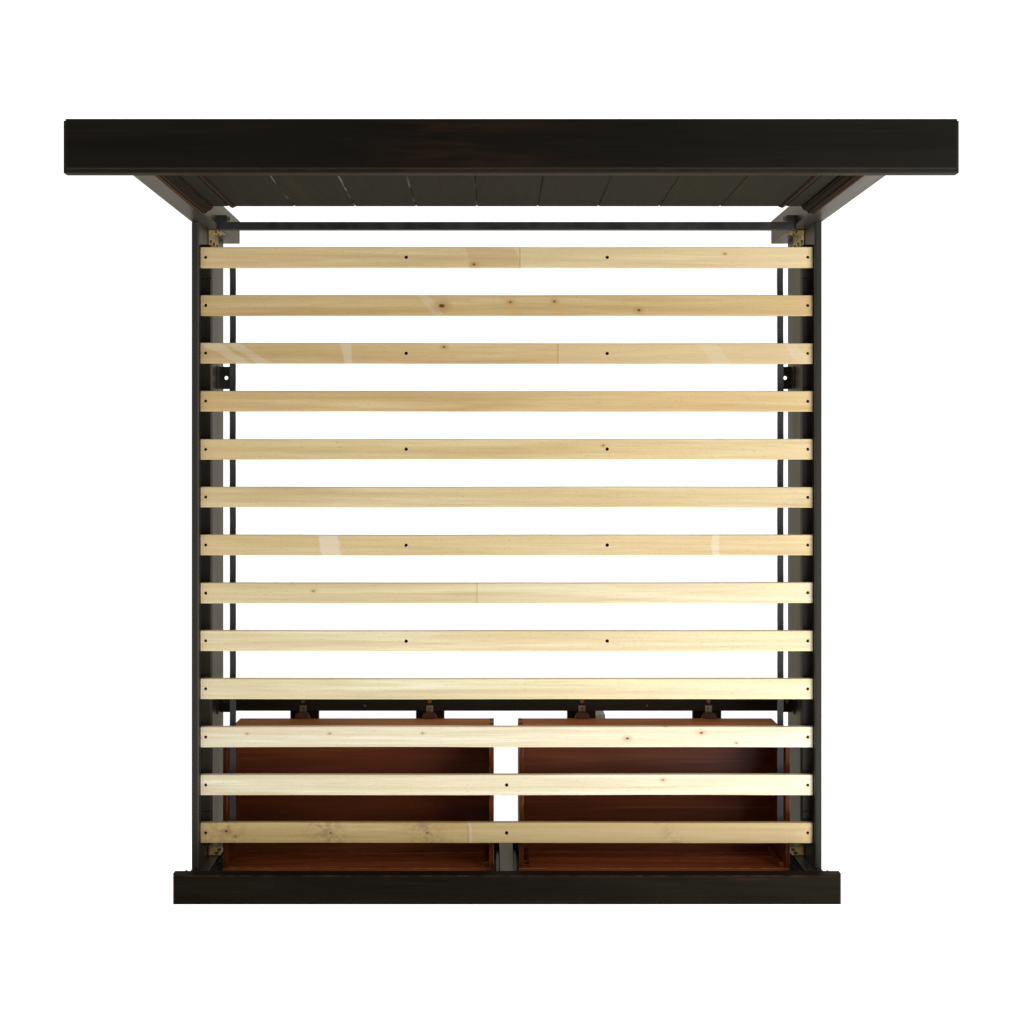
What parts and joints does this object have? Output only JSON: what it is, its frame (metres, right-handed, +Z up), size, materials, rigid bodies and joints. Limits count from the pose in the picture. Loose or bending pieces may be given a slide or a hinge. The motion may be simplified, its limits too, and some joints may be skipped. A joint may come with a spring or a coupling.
{
  "type": "storage platform bed",
  "caption": "King storage bed: planked panel headboard, low footboard with drawers, deep side rails and a slatted mattress deck.",
  "frame": {"origin": "on the floor, at the middle of the bed's bounding box", "axes": "+Z up, +Y from footboard to headboard, +X to the right seen from the footboard end looking at the headboard"},
  "size_m": [2.155, 2.231, 1.405],
  "materials": {
    "dark_wood": "satin espresso stain",
    "slat_wood": "raw planed softwood",
    "drawer_wood": "satin mahogany stain",
    "yellow_zinc": "yellow zinc plate",
    "bronze_zinc": "bronze-coloured zinc plate",
    "bright_steel": "bright zinc",
    "black_steel": "black powder coat",
    "black_webbing": "woven webbing",
    "brown_plastic": "moulded",
    "grey_plastic": "moulded, ribbed",
    "dark_bronze": "aged dark bronze"
  },
  "bodies": {
    "bed_frame": {"headboard_post_right": "dark_wood", "headboard_post_left": "dark_wood", "headboard_stiles": "dark_wood", "headboard_planks": "dark_wood", "headboard_top_rail": "dark_wood", "headboard_back_battens": "dark_wood", "headboard_crown": "dark_wood", "headboard_crown_cove": "dark_wood", "headboard_outer_moulding": "dark_wood", "headboard_panel_moulding": "dark_wood", "side_rail_right": "dark_wood", "side_rail_left": "dark_wood", "slat_cleats": "dark_wood", "drawer_cross_board": "dark_wood", "runner_boards": "dark_wood", "footboard_posts": "dark_wood", "footboard_centre_stile": "dark_wood", "footboard_top_rail": "dark_wood", "footboard_bottom_rail": "dark_wood", "footboard_cap": "dark_wood", "footboard_cove": "dark_wood", "head_cross_bar": "black_steel", "cross_bar_brackets": "black_steel", "rail_brackets": "black_steel", "corner_brackets": "yellow_zinc", "bracket_bolts": "yellow_zinc", "frame_screws": "bronze_zinc", "slat_screws": "bronze_zinc", "monorails": "bright_steel", "slat_straps": "black_webbing", "runner_foot": "grey_plastic", "slat_01": "slat_wood", "slat_02": "slat_wood", "slat_03": "slat_wood", "slat_04": "slat_wood", "slat_05": "slat_wood", "slat_06": "slat_wood", "slat_07": "slat_wood", "slat_08": "slat_wood", "slat_09": "slat_wood", "slat_10": "slat_wood", "slat_11": "slat_wood", "slat_12": "slat_wood", "slat_13": "slat_wood"},
    "drawer_left": {"drawer_left_face": "dark_wood", "drawer_left_box_front": "drawer_wood", "drawer_left_box_sides": "drawer_wood", "drawer_left_box_back": "drawer_wood", "drawer_left_bottom": "drawer_wood", "drawer_left_guides": "brown_plastic", "drawer_left_knobs": "dark_bronze", "drawer_left_corner_block": "drawer_wood"},
    "drawer_right": {"drawer_right_face": "dark_wood", "drawer_right_box_front": "drawer_wood", "drawer_right_box_sides": "drawer_wood", "drawer_right_box_back": "drawer_wood", "drawer_right_bottom": "drawer_wood", "drawer_right_guides": "brown_plastic", "drawer_right_knobs": "dark_bronze", "drawer_right_corner_block": "drawer_wood"}
  },
  "joints": [
    {"name": "drawer_left_slide", "type": "slide", "parent": "bed_frame", "child": "drawer_left", "axis": [0, -1, 0], "range_m": [0, 0.38]},
    {"name": "drawer_right_slide", "type": "slide", "parent": "bed_frame", "child": "drawer_right", "axis": [0, -1, 0], "range_m": [0, 0.38]}
  ]
}
